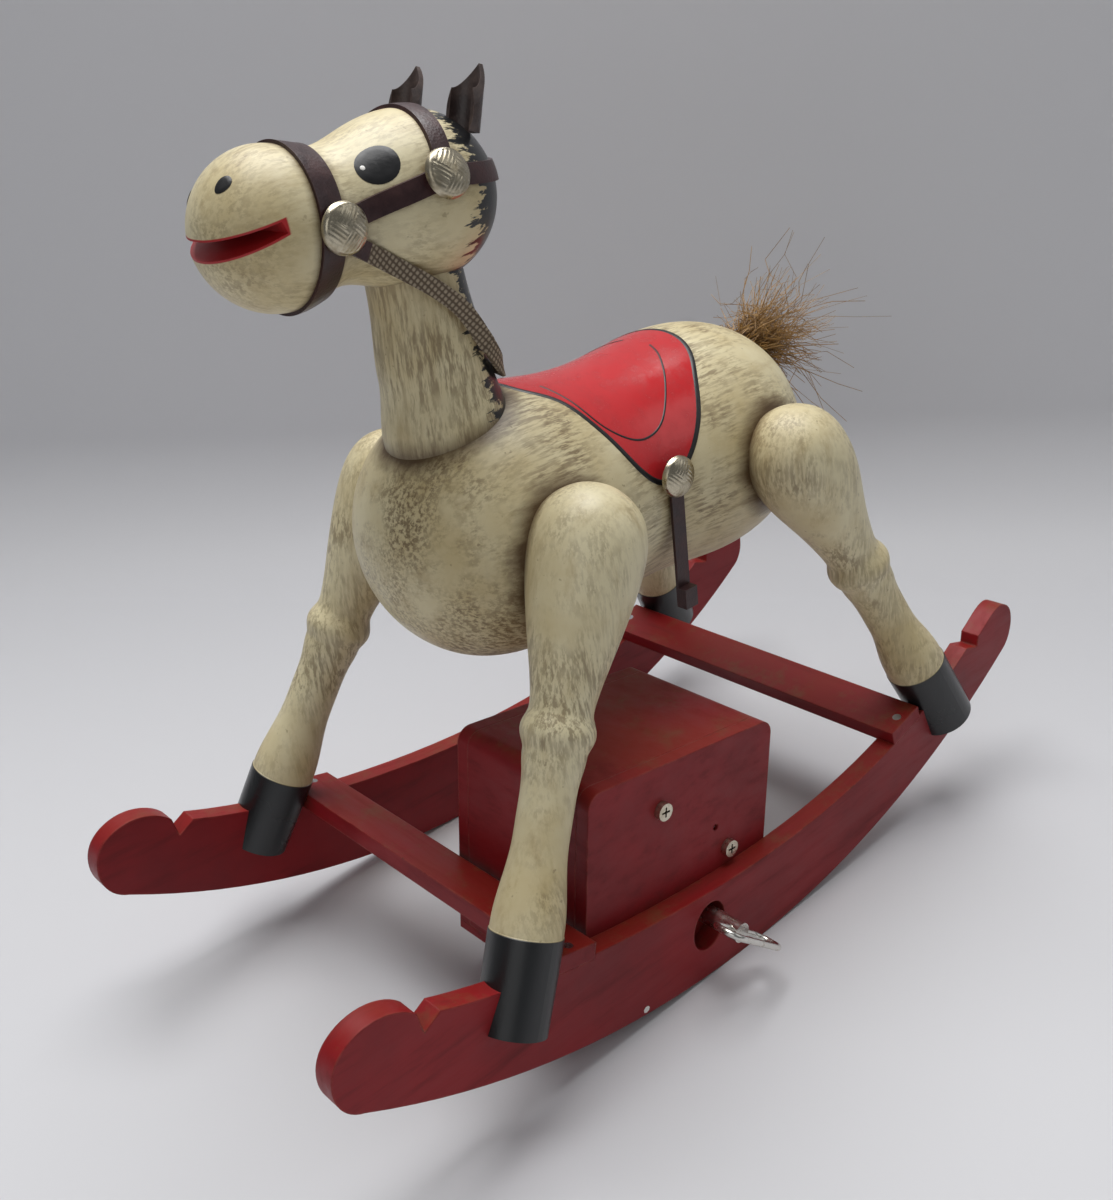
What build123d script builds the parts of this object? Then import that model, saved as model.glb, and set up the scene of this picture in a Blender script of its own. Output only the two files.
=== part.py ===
"""Wooden rocking horse with a music box, life size in millimetres.

+X runs from the head to the tail, +Z is up and the origin lies on the floor, midway between
the rockers' lowest points. The left flank, with the winding key, faces -Y.
"""
import math
import os

from build123d import *

# ---- driving dimensions ------------------------------------------------------------------
OVERALL_WIDTH = 127.0  # over the rockers' outer faces
ROCKER_THICKNESS = 6.4
ROCKER_RADIUS = 251.0  # of the arc that the horse rocks on
ROCKER_FRONT, ROCKER_REAR = -131.0, 137.0  # where the arc ends under the two scrolls
ROCKER_Y = (OVERALL_WIDTH - ROCKER_THICKNESS) / 2

SLAT_WIDTH, SLAT_THICKNESS = 14.4, 5.0
FRONT_SLAT = {"x": -64.6, "top": 40.4, "tilt": 14.0}
REAR_SLAT = {"x": 79.5, "top": 39.6, "tilt": -14.0}

BODY_AXIS_Z = 131.0
HEAD_AXIS_Z = 220.0
NECK_FOOT = (-35.8, 0.0, 163.0)
NECK_LEAN = (-0.08, 0.0, 1.0)
NECK_LENGTH = 42.0

FRONT_HIP, FRONT_HOOF = (-27.1, 41.7, 135.8), (-82.1, ROCKER_Y, 38.1)
REAR_HIP, REAR_HOOF = (55.8, 41.7, 132.5), (98.8, ROCKER_Y, 39.6)
DOWEL_RADIUS = 4.0
TIP_FLAT = 1.2  # radius of the flat that the lathe leaves at a round tip

CASE_LENGTH, CASE_HEIGHT, CASE_DEPTH = 72.6, 64.8, 54.0
CASE_TILT = 8.8  # the case leans back, following the rocker
CASE_CORNER = (-59.3, -(OVERALL_WIDTH / 2 - ROCKER_THICKNESS), 12.4)
CASE_ROUND = 4.5
BOARD = 4.5
BASE_BOARD = 2.6

KEY_AT = (44.2, 13.6)  # the places on the case's left side, from its low front corner
SCREWS_AT = [(27.2, 51.4), (55.9, 29.3)]
STOP_WIRE_AT = (50.4, 37.5)

STRAP_THICKNESS = 0.9
NOSEBAND_WIDTH, BRIDLE_WIDTH, REIN_WIDTH = 7.0, 4.8, 4.8
TACK_RADIUS, TACK_HEIGHT, TACK_SHANK = 5.9, 3.0, 0.8
NOSE_TACK = (-69.0, HEAD_AXIS_Z)
CHEEK_TACK_X, CHEEK_TACK_RISE = -40.4, 18.0  # its rise above the head's mid-line, in degrees
SADDLE_TACK = (12.9, 138.5)
STIRRUP_Y = 34.2  # the stirrup straps' inner faces
STIRRUP_LENGTH = 38.0

os.makedirs("parts", exist_ok=True)


# ---- helpers -----------------------------------------------------------------------------
def finish(piece, name):
    """Labels a finished piece and writes its STEP file."""
    piece.part.label = name
    export_step(piece.part, f"parts/{name}.step")


def side_plane(y):
    """An upright plane facing -Y, at the given y: its own x is +X and its own y is +Z."""
    return Plane(origin=(0, y, 0), x_dir=(1, 0, 0), z_dir=(0, -1, 0))


def cap(tip, station):
    """Points of a round end, from the small flat at its tip out to the station beside it."""
    x, r = station
    quarter = [math.asin(TIP_FLAT / r), math.radians(30), math.radians(60), math.radians(90)]
    return [(x - (x - tip) * math.cos(turn), r * math.sin(turn)) for turn in quarter]


def turned(origin, direction, runs, start=None, end=None, flat_end=(), seam=(0, 0, -1)):
    """A lathe-turned piece. Each run is a list of (distance along the axis, radius) stations on
    one smooth curve. start and end are the tips of its round ends, and without them an end is
    cut flat, after the corners in flat_end. seam is the side on which the turned surface
    closes, kept away from the joints with other pieces."""
    along = Vector(*direction).normalized()
    across = along.cross(Vector(*seam)).normalized()
    section = Plane(origin=origin, x_dir=along, z_dir=across)
    curves = [list(run) for run in runs]
    leaving, arriving = [(1, 0)] * len(curves), [(1, 0)] * len(curves)
    if start is not None:
        curves[0] = cap(start, curves[0][0])[:-1] + curves[0]
        leaving[0] = (0, 1)
    if end is not None:
        curves[-1] = curves[-1] + cap(end, curves[-1][-1])[-2::-1]
        arriving[-1] = (0, -1)
    first, last = curves[0][0], curves[-1][-1]
    with BuildPart() as piece:
        with BuildSketch(section):
            with BuildLine():
                Line((first[0], 0), first)
                for curve, out, back in zip(curves, leaving, arriving):
                    Spline(*curve, tangents=[out, back], tangent_scalars=[1, 1])
                corners = [last, *flat_end, (flat_end[-1][0] if flat_end else last[0], 0), (first[0], 0)]
                Polyline(*[corner for at, corner in enumerate(corners) if corner != corners[at - 1]])
            make_face()
        revolve(axis=Axis(origin, along))
    return piece


def pin(origin, direction, radius, start, end):
    """A round bar along a direction, from start to end past the origin."""
    along = Vector(*direction).normalized()
    foot = Vector(*origin) + along * start
    with BuildPart() as bar:
        with BuildSketch(Plane(origin=foot, z_dir=along)):
            Circle(radius)
        extrude(amount=end - start)
    return bar.part


def both_sides(point):
    """The same point on the left (-Y) and on the right (+Y)."""
    x, y, z = point
    return {"left": (x, -y, z), "right": (x, y, z)}


def towards(start, end):
    return tuple(b - a for a, b in zip(start, end))


# ---- rockers and slats -------------------------------------------------------------------
def arc_z(x):
    """Height of the rocking arc above the floor."""
    return ROCKER_RADIUS - math.sqrt(ROCKER_RADIUS**2 - x**2)


def slat(place, width=SLAT_WIDTH, thickness=SLAT_THICKNESS, length=OVERALL_WIDTH):
    """A cross slat, or the notch for it, lying across both rockers."""
    tilt = math.radians(place["tilt"])
    top = Plane(
        origin=(place["x"], 0, place["top"]),
        x_dir=(math.cos(tilt), 0, -math.sin(tilt)),
        z_dir=(math.sin(tilt), 0, math.cos(tilt)),
    )
    with BuildPart() as bar:
        with BuildSketch(top):
            Rectangle(width, length)
        extrude(amount=-thickness)
    return bar


rocker_notches = [slat(place, SLAT_WIDTH + 0.02, length=OVERALL_WIDTH + 2).part
                  for place in (FRONT_SLAT, REAR_SLAT)]
rockers = {}
for side, outer_y in {"left": -OVERALL_WIDTH / 2, "right": OVERALL_WIDTH / 2 - ROCKER_THICKNESS}.items():
    front_foot = (ROCKER_FRONT, arc_z(ROCKER_FRONT))
    rear_foot = (ROCKER_REAR, arc_z(ROCKER_REAR))
    with BuildPart() as rocker:
        with BuildSketch(side_plane(outer_y)):
            with BuildLine():
                ThreePointArc(front_foot, (0, 0), rear_foot)
                Spline(rear_foot, (141.3, 48.5), (139.6, 55.4), (134, 58.3), (126.7, 55.6), (121.1, 52.2))
                Polyline((121.1, 52.2), (120.6, 48.4), (114.3, 50.4))
                Spline((114.3, 50.4), (105.3, 45.4), (64, 31.2), (10, 27.0), (-50, 33.6), (-102, 48.2),
                       (-106.8, 50.2))
                Polyline((-106.8, 50.2), (-112.1, 47.2), (-113.2, 53.6))
                Spline((-113.2, 53.6), (-119, 58), (-128, 59.1), (-135.6, 54.6), (-137.7, 47), front_foot)
            make_face()
        extrude(amount=-ROCKER_THICKNESS)
        for notch in rocker_notches:
            add(notch, mode=Mode.SUBTRACT)
        if side == "left":
            with BuildSketch(Plane(origin=(-15.6, -OVERALL_WIDTH / 2, 17.4), x_dir=(0.94, 0, -0.34),
                                   z_dir=(0, -1, 0))):
                Ellipse(6.3, 7.6)
            extrude(amount=-ROCKER_THICKNESS, mode=Mode.SUBTRACT)
    rockers[side] = rocker

front_slat = slat(FRONT_SLAT)
rear_slat = slat(REAR_SLAT)

nails = []
for place, piece in ((FRONT_SLAT, front_slat), (REAR_SLAT, rear_slat)):
    tilt = math.radians(place["tilt"])
    up = (math.sin(tilt), 0, math.cos(tilt))
    for y in (-ROCKER_Y, ROCKER_Y):
        at = (place["x"], y, place["top"])
        nails.append(pin(at, up, 1.4, -0.6, 0.0) + pin(at, up, 0.6, -13.0, -0.6))
with BuildPart() as slat_nails:
    for nail in nails:
        add(nail)
for piece in (front_slat, rear_slat, *rockers.values()):
    with piece:
        add(slat_nails.part, mode=Mode.SUBTRACT)

# ---- body, neck and head -----------------------------------------------------------------
body = turned(
    (0, 0, BODY_AXIS_Z), (1, 0, 0),
    [[(-28, 36.9), (-14, 36.4), (0, 34.3), (15, 33.3), (31.5, 34.4), (52, 35.8)]],
    start=-63.3, end=90.0,
)

HEAD_RUN = [(-76, 18.7), (-69, 17.3), (-62.5, 16.0), (-56.5, 16.9), (-48.5, 19.4), (-37, 20.9)]
HEAD_TIPS = (-94.6, -15.0)
HEAD_SEAM = (0, 0.77, -0.64)


def head_form(growth):
    """The turned head, or the same form grown outwards for the straps that lie on it."""
    grown = [(x, r + growth) for x, r in HEAD_RUN]
    return turned((0, 0, HEAD_AXIS_Z), (1, 0, 0), [grown], start=HEAD_TIPS[0] - growth,
                  end=HEAD_TIPS[1] + growth, seam=HEAD_SEAM)


with BuildPart() as mouth_cut:
    with BuildSketch(side_plane(-30)):
        with BuildLine():
            Polyline((-97, 220.3), (-82.6, 223.9), (-81.8, 221.4), (-97, 215.6), close=True)
        make_face()
    extrude(amount=-60)
head = head_form(0)
with head:
    add(mouth_cut.part, mode=Mode.SUBTRACT)

neck_runs = [
    [(-9, 16.8), (-2, 17), (6, 15.8), (15, 14.6)],
    [(15, 14.6), (22, 14), (32, 12.8), (NECK_LENGTH, 12.4)],
]
neck = turned(NECK_FOOT, NECK_LEAN, neck_runs, seam=(1, 0.4, 0))
neck_dowel_part = pin(NECK_FOOT, NECK_LEAN, DOWEL_RADIUS, -14, 18)
head_dowel_part = pin(NECK_FOOT, NECK_LEAN, DOWEL_RADIUS, 26, 50)
with neck:
    add(body.part, mode=Mode.SUBTRACT)
    add(head_form(0).part, mode=Mode.SUBTRACT)
    add(neck_dowel_part, mode=Mode.SUBTRACT)
    add(head_dowel_part, mode=Mode.SUBTRACT)
with body:
    add(neck_dowel_part, mode=Mode.SUBTRACT)
with head:
    add(head_dowel_part, mode=Mode.SUBTRACT)
with BuildPart() as neck_dowel:
    add(neck_dowel_part)
with BuildPart() as head_dowel:
    add(head_dowel_part)

# ---- legs --------------------------------------------------------------------------------
THIGH_TIP, THIGH_RADIUS = -14.6, 15.3
KNEE_SHARE, HOOF_LENGTH = 0.43, 15.0  # the knee's place in the reach, and fetlock to hoof centre


def leg_runs(reach):
    """Runs from the thigh's round top down to the fetlock, for a leg that is reach long from hip
    to hoof centre, with a knee bead a little above its middle."""
    knee = KNEE_SHARE * reach
    fetlock = reach - HOOF_LENGTH
    shin = (knee + fetlock) / 2
    return [
        [(0.6, THIGH_RADIUS), (9.5, 14.8), (knee - 21, 11.2), (knee - 10, 8.8), (knee - 5.5, 8.3)],
        [(knee - 5.5, 8.3), (knee - 2.6, 9.2), (knee, 9.8), (knee + 2.6, 9.2), (knee + 5.5, 8.3)],
        [(knee + 5.5, 8.3), (knee + 11, 7.6), (shin - 3, 7.2), (shin, 7.2)],
        [(shin, 7.2), (shin + 5, 7.3), (fetlock - 7, 9.0), (fetlock, 9.5)],
    ]


legs, leg_dowel_parts = {}, []
for end, hip, hoof in (("front", FRONT_HIP, FRONT_HOOF), ("rear", REAR_HIP, REAR_HOOF)):
    for side, hip_at in both_sides(hip).items():
        hoof_at = both_sides(hoof)[side]
        along = towards(hip_at, hoof_at)
        reach = Vector(*along).length
        fetlock = reach - HOOF_LENGTH
        leg = turned(hip_at, along, leg_runs(reach), start=THIGH_TIP,
                     flat_end=[(fetlock + 0.6, 9.5), (fetlock + 1.0, 9.8), (reach + 10.5, 9.4)],
                     seam=(0, hip_at[1], 0))
        dowel = pin(hip_at, (0, hip_at[1], 0), DOWEL_RADIUS, -17, 5)
        with leg:
            add(body.part, mode=Mode.SUBTRACT)
            add(rockers[side].part, mode=Mode.SUBTRACT)
            add(front_slat.part, mode=Mode.SUBTRACT)
            add(rear_slat.part, mode=Mode.SUBTRACT)
            add(dowel, mode=Mode.SUBTRACT)
        legs[f"leg_{end}_{side}"] = leg
        leg_dowel_parts.append(dowel)
with BuildPart() as leg_dowels:
    for dowel in leg_dowel_parts:
        add(dowel)
with body:
    add(leg_dowels.part, mode=Mode.SUBTRACT)

# ---- tacks -------------------------------------------------------------------------------
def tack(seat, outwards):
    """A domed upholstery tack whose head's rim stands on the seat point."""
    along = Vector(*outwards).normalized()
    section = Plane(origin=seat, x_dir=along, z_dir=Vector(1, 0, 0).cross(along).normalized())
    dome_radius = (TACK_RADIUS**2 + TACK_HEIGHT**2) / (2 * TACK_HEIGHT)
    with BuildPart() as nail:
        with BuildSketch(section):
            with BuildLine():
                Line((0, 0), (0, TACK_RADIUS))
                RadiusArc((0, TACK_RADIUS), (TACK_HEIGHT, 0), dome_radius)
                Line((TACK_HEIGHT, 0), (0, 0))
            make_face()
        revolve(axis=Axis(seat, along))
        add(pin(seat, along, TACK_SHANK, -12.0, 0.2))
    return nail.part


NOSE_SEAT, CHEEK_SEAT = 19.5, 22.3  # from the head's mid-line, over the straps beneath
rise = math.radians(CHEEK_TACK_RISE)
bridle_tack_list, saddle_tack_list = [], []
for hand in (-1, 1):
    bridle_tack_list.append(tack((NOSE_TACK[0], hand * NOSE_SEAT, NOSE_TACK[1]), (0, hand, 0)))
    cheek_out = (0, hand * math.cos(rise), math.sin(rise))
    cheek_seat = (CHEEK_TACK_X, cheek_out[1] * CHEEK_SEAT, HEAD_AXIS_Z + cheek_out[2] * CHEEK_SEAT)
    bridle_tack_list.append(tack(cheek_seat, cheek_out))
    saddle_seat = (SADDLE_TACK[0], hand * (STIRRUP_Y + STRAP_THICKNESS + 0.2), SADDLE_TACK[1])
    saddle_tack_list.append(tack(saddle_seat, (0, hand, 0)))
with BuildPart() as bridle_tacks:
    for item in bridle_tack_list:
        add(item)
with BuildPart() as saddle_tacks:
    for item in saddle_tack_list:
        add(item)
with head:
    add(bridle_tacks.part, mode=Mode.SUBTRACT)
with body:
    add(saddle_tacks.part, mode=Mode.SUBTRACT)


# ---- bridle ------------------------------------------------------------------------------
def band(through, slope, width, x_range, y_range=(-40, 40)):
    """A strap on the head: the grown head form inside a tilted slab, less the head itself.
    slope tips the slab about Y, in degrees from level, and x_range runs along the slope."""
    tilt = math.radians(slope)
    slab_plane = Plane(
        origin=(through[0], 0, through[1]),
        x_dir=(math.cos(tilt), 0, math.sin(tilt)),
        z_dir=(-math.sin(tilt), 0, math.cos(tilt)),
    )
    with BuildPart() as slab:
        with BuildSketch(slab_plane):
            with Locations(((x_range[0] + x_range[1]) / 2, sum(y_range) / 2)):
                Rectangle(x_range[1] - x_range[0], y_range[1] - y_range[0])
        extrude(amount=width / 2, both=True)
    strap = head_form(STRAP_THICKNESS)
    with strap:
        add(slab.part, mode=Mode.INTERSECT)
        add(head_form(0).part, mode=Mode.SUBTRACT)
        add(bridle_tacks.part, mode=Mode.SUBTRACT)
    return strap


cheek_z = HEAD_AXIS_Z + 20.7 * math.sin(rise)
cheek_slope = math.degrees(math.atan2(cheek_z - NOSE_TACK[1], CHEEK_TACK_X - NOSE_TACK[0]))
cheek_span = math.hypot(cheek_z - NOSE_TACK[1], CHEEK_TACK_X - NOSE_TACK[0])
noseband = band((-70.8, HEAD_AXIS_Z), 83.0, NOSEBAND_WIDTH, (-30, 30))
crown_strap = band((CHEEK_TACK_X, cheek_z), 73.0, BRIDLE_WIDTH, (-2.5, 30))
nape_strap = band((CHEEK_TACK_X, cheek_z), -6.0, BRIDLE_WIDTH, (3.0, 40))
cheek_straps = {
    side: band(NOSE_TACK, cheek_slope, BRIDLE_WIDTH, (2.8, cheek_span - 3.6), y_range)
    for side, y_range in {"left": (-40, 0), "right": (0, 40)}.items()
}

# The rein is one strap from tack to tack, round the back of the neck, in one sloping plane.
REIN_SLOPE = math.radians(-42.0)
REIN_PATH = [(-2.6, -18.8), (8, -16.4), (17, -14.2), (28, -13.8), (40, -14.2), (49, -13.4), (57, -9.6),
             (61.5, -4.5), (62.8, 0)]
rein_plane = Plane(
    origin=(NOSE_TACK[0], 0, NOSE_TACK[1]),
    x_dir=(math.cos(REIN_SLOPE), 0, math.sin(REIN_SLOPE)),
    z_dir=(-math.sin(REIN_SLOPE), 0, math.cos(REIN_SLOPE)),
)
with BuildPart() as reins:
    with BuildSketch(rein_plane):
        with BuildLine():
            Spline(*REIN_PATH, *[(along, -across) for along, across in reversed(REIN_PATH[:-1])])
        trace(line_width=STRAP_THICKNESS)
    extrude(amount=REIN_WIDTH / 2, both=True)
    add(bridle_tacks.part, mode=Mode.SUBTRACT)
    add(head_form(STRAP_THICKNESS + 0.05).part, mode=Mode.SUBTRACT)
    add(neck.part, mode=Mode.SUBTRACT)

# ---- ears --------------------------------------------------------------------------------
EAR_FOOT, EAR_HEIGHT, EAR_THICKNESS, EAR_CURL = (-28.5, 12.0, 234.5), 16.0, 1.2, 5.2
ears = {}
for side, foot in both_sides(EAR_FOOT).items():
    hand = -1 if side == "left" else 1
    upright = Plane(origin=foot, x_dir=(0, 1, 0), z_dir=(0.30, 0, 1))
    with BuildPart() as ear:
        with BuildSketch(upright):
            Circle(EAR_CURL)
            Circle(EAR_CURL - EAR_THICKNESS, mode=Mode.SUBTRACT)
            with Locations((0, -EAR_CURL)):
                Rectangle(2 * EAR_CURL + 1, 2 * EAR_CURL, mode=Mode.INTERSECT)
        extrude(amount=EAR_HEIGHT)
        with BuildSketch(Plane(origin=foot, x_dir=(0, 1, 0), z_dir=(1, 0, -0.30))):
            with BuildLine():
                Spline((-3.4, -1), (-5.2, 5.5), (-3.0, 11.5), (0.4 * hand, EAR_HEIGHT - 0.4))
                Spline((0.4 * hand, EAR_HEIGHT - 0.4), (3.0, 11.5), (5.2, 5.5), (3.4, -1))
                Line((3.4, -1), (-3.4, -1))
            make_face()
        extrude(amount=20, both=True, mode=Mode.INTERSECT)
        add(head_form(0).part, mode=Mode.SUBTRACT)
        add(crown_strap.part, mode=Mode.SUBTRACT)
    ears[f"ear_{side}"] = ear

# ---- stirrup straps ----------------------------------------------------------------------
stirrups = {}
for side, hand in (("left", -1), ("right", 1)):
    inner = hand * STIRRUP_Y
    x, z = SADDLE_TACK
    with BuildPart() as stirrup:
        with BuildSketch(Plane(origin=(0, inner, 0), x_dir=(1, 0, 0), z_dir=(0, -1, 0))):
            with Locations((x, z - STIRRUP_LENGTH / 2 + 2.5)):
                Rectangle(BRIDLE_WIDTH, STIRRUP_LENGTH + 5)
            with Locations((x, z)):
                Circle(TACK_SHANK + 0.06, mode=Mode.SUBTRACT)
        extrude(amount=-hand * STRAP_THICKNESS)
        with Locations((x, inner + hand * 1.8, z - STIRRUP_LENGTH + 2)):
            Box(BRIDLE_WIDTH, 3.6, 6.0)
    stirrups[f"stirrup_strap_{side}"] = stirrup

# ---- tail --------------------------------------------------------------------------------
TAIL_ROOT, TAIL_RISE = (77.0, 0.0, 152.0), (0.78, 0.0, 0.62)
tail_tuft = turned(TAIL_ROOT, TAIL_RISE, [[(-5, 3.2), (3, 3.5), (14, 7.8), (22, 9.2)]], end=33.0)
tail_hole = pin(TAIL_ROOT, TAIL_RISE, 3.7, -7, 12)
with body:
    add(tail_hole, mode=Mode.SUBTRACT)
with tail_tuft:
    add(body.part, mode=Mode.SUBTRACT)

# ---- music box case ----------------------------------------------------------------------
case_tilt = math.radians(CASE_TILT)
case_x = Vector(math.cos(case_tilt), 0, -math.sin(case_tilt))
case_up = Vector(math.sin(case_tilt), 0, math.cos(case_tilt))
case_face = Plane(origin=CASE_CORNER, x_dir=case_x, z_dir=(0, -1, 0))


def case_point(across, up, depth):
    """A point given by its place on the case's left face and its depth behind that face."""
    return Vector(*CASE_CORNER) + case_x * across + case_up * up + Vector(0, depth, 0)


def case_outline(inset, foot=0.0):
    """The case's rounded outline, inset all round, on the current sketch plane."""
    width, height = CASE_LENGTH - 2 * inset, CASE_HEIGHT - inset - foot
    with Locations((CASE_LENGTH / 2, foot + height / 2)):
        Rectangle(width, height)


def case_slice(depth, thickness, inset=0.0, foot=0.0, mode=Mode.ADD):
    """Extrudes the case's outline inwards from a depth behind its left face."""
    with BuildSketch(case_face.offset(-depth)) as outline:
        case_outline(inset, foot)
        upper = outline.vertices().sort_by(Axis.Y)[-2:]
        fillet(upper, max(CASE_ROUND - inset, 0.6))
    extrude(outline.sketch, amount=-thickness, mode=mode)


with BuildPart() as case_hood:
    case_slice(BOARD, CASE_DEPTH - 2 * BOARD, foot=BASE_BOARD)
    case_slice(BOARD, CASE_DEPTH - 2 * BOARD, inset=BOARD, foot=BASE_BOARD, mode=Mode.SUBTRACT)
with BuildPart() as case_left_side:
    case_slice(0, BOARD, foot=BASE_BOARD)
    with BuildSketch(case_face):
        with Locations(KEY_AT):
            Circle(3.4)
        with Locations(*SCREWS_AT):
            Circle(1.55)
        with Locations(STOP_WIRE_AT):
            Circle(1.0)
    extrude(amount=-BOARD, mode=Mode.SUBTRACT)
with BuildPart() as case_right_side:
    case_slice(CASE_DEPTH - BOARD, BOARD, foot=BASE_BOARD)
with BuildPart() as case_base:
    with BuildSketch(case_face):
        with Locations((CASE_LENGTH / 2, BASE_BOARD / 2)):
            Rectangle(CASE_LENGTH, BASE_BOARD)
    extrude(amount=-CASE_DEPTH)

BASE_SCREW_INSET, BASE_SCREW_DEPTH = BOARD / 2, 15.0  # from the case's ends and its sides
BASE_SCREW_HEAD, BASE_SCREW_SHANK = 1.9, 0.9
base_screw_feet = [
    case_point(across, 0, depth)
    for across in (BASE_SCREW_INSET, CASE_LENGTH - BASE_SCREW_INSET)
    for depth in (BASE_SCREW_DEPTH, CASE_DEPTH - BASE_SCREW_DEPTH)
]
with BuildPart() as case_base_screws:
    for foot in base_screw_feet:
        add(pin(foot, case_up, BASE_SCREW_HEAD, 0.2, 1.2))
        add(pin(foot, case_up, BASE_SCREW_SHANK, 1.2, 10.0))
for piece in (case_base, case_hood):
    with piece:
        add(case_base_screws.part, mode=Mode.SUBTRACT)
with case_base:
    for foot in base_screw_feet:
        add(pin(foot, case_up, BASE_SCREW_HEAD, -0.1, 1.2), mode=Mode.SUBTRACT)

# ---- musical movement --------------------------------------------------------------------
PLATE = 3.0
PLATE_BACK = BOARD + PLATE  # the bedplate's outer face lies on the side board
ARBOR_RADIUS, HOUSING_RADIUS, HOUSING_HEIGHT = 1.6, 10.2, 8.6
WHEEL_DEPTH = PLATE_BACK + HOUSING_HEIGHT + 0.5
GREAT_WHEEL_RADIUS = 10.4
CYLINDER_ACROSS, CYLINDER_DEPTH, CYLINDER_RADIUS = KEY_AT[0], WHEEL_DEPTH + 5.2, 6.2
CYLINDER_LOW, CYLINDER_HIGH = 26.5, 46.5
COMB_TEETH = 18
GOVERNOR_ACROSS, GOVERNOR_WHEEL_RADIUS = 55.7, 4.2
FLY_ACROSS, FLY_UP = 61.1, 36.8
BRACKET = 1.2
outwards = Vector(0, -1, 0)
inwards = Vector(0, 1, 0)


def wheel(origin, axis, radius, teeth, depth, thickness, bore):
    """A gear wheel: a disc with square-cut teeth, its back face on the origin."""
    with BuildPart() as gear:
        with BuildSketch(Plane(origin=origin, z_dir=axis)):
            Circle(radius - depth)
            with PolarLocations(radius - depth / 2 - 0.2, teeth):
                Rectangle(depth + 0.4, math.pi * radius / teeth)
            Circle(bore, mode=Mode.SUBTRACT)
        extrude(amount=thickness)
    return gear.part


with BuildPart() as movement_bedplate:
    with BuildSketch(case_face.offset(-BOARD)):
        with Locations((41.8, 29.5)):
            RectangleRounded(39.5, 50.5, 2)
        with Locations(KEY_AT):
            Circle(ARBOR_RADIUS + 0.05, mode=Mode.SUBTRACT)
        with Locations(*SCREWS_AT):
            Circle(1.25, mode=Mode.SUBTRACT)
        with Locations(STOP_WIRE_AT):
            Circle(0.65, mode=Mode.SUBTRACT)
    extrude(amount=-PLATE)
    add(pin(case_point(FLY_ACROSS, FLY_UP, PLATE_BACK - 1.6), inwards, 0.45, 0, 3), mode=Mode.SUBTRACT)

housing_at = case_point(*KEY_AT, PLATE_BACK)
with BuildPart() as spring_housing:
    add(pin(housing_at, inwards, HOUSING_RADIUS, 0, HOUSING_HEIGHT))
    add(pin(housing_at, inwards, HOUSING_RADIUS - 0.8, 0, HOUSING_HEIGHT - 0.8), mode=Mode.SUBTRACT)
    add(pin(housing_at, inwards, ARBOR_RADIUS + 0.05, 0, HOUSING_HEIGHT), mode=Mode.SUBTRACT)
with BuildPart() as mainspring:
    add(pin(housing_at, inwards, HOUSING_RADIUS - 1.0, 0.6, HOUSING_HEIGHT - 1.4))
    add(pin(housing_at, inwards, HOUSING_RADIUS - 4.6, 0, HOUSING_HEIGHT), mode=Mode.SUBTRACT)

STEM_END = OVERALL_WIDTH / 2 + 10.3
stem_reach = STEM_END - (-CASE_CORNER[1])
key_at = case_point(*KEY_AT, 0)
with BuildPart() as winding_arbor:
    add(pin(key_at, inwards, ARBOR_RADIUS, 2.0, WHEEL_DEPTH + 3.2))
great_wheel_at = case_point(*KEY_AT, WHEEL_DEPTH)
with BuildPart() as great_wheel:
    with BuildSketch(Plane(origin=great_wheel_at, z_dir=inwards)):
        Circle(GREAT_WHEEL_RADIUS)
        Circle(ARBOR_RADIUS, mode=Mode.SUBTRACT)
    extrude(amount=0.9)
    with BuildSketch(Plane(origin=great_wheel_at + inwards * 0.9, z_dir=inwards)):
        with PolarLocations(GREAT_WHEEL_RADIUS - 0.7, 36):
            Rectangle(1.0, 0.8)
    extrude(amount=1.1)

LOOP_ANGLE = math.radians(-41.0)
LOOP_HALF, LOOP_WIRE, LOOP_REACH = 12.5, 0.95, 9.0
loop_along = Vector(math.cos(LOOP_ANGLE), 0, math.sin(LOOP_ANGLE))
stem_tip = key_at + outwards * (stem_reach - 2.4)
loop_path = Plane(origin=stem_tip, x_dir=loop_along, z_dir=loop_along.cross(outwards))
with BuildPart() as key_loop:
    with BuildSketch(Plane(origin=stem_tip, z_dir=loop_along)):
        Circle(LOOP_WIRE)
    with BuildLine(loop_path):
        FilletPolyline((0, 0), (LOOP_HALF, 0), (LOOP_HALF, LOOP_REACH), (-LOOP_HALF, LOOP_REACH),
                       (-LOOP_HALF, 0), (-0.001, 0), radius=4.0)
    sweep()
with BuildPart() as key_stem:
    add(pin(key_at, outwards, 2.9, -1.9, stem_reach))
    add(pin(key_at, inwards, ARBOR_RADIUS, -4.0, 3.0), mode=Mode.SUBTRACT)
    add(pin(stem_tip, loop_along, LOOP_WIRE + 0.001, -4, 4), mode=Mode.SUBTRACT)
with winding_arbor:
    add(pin(key_at, outwards, ARBOR_RADIUS, -2.0, 4.0))

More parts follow.
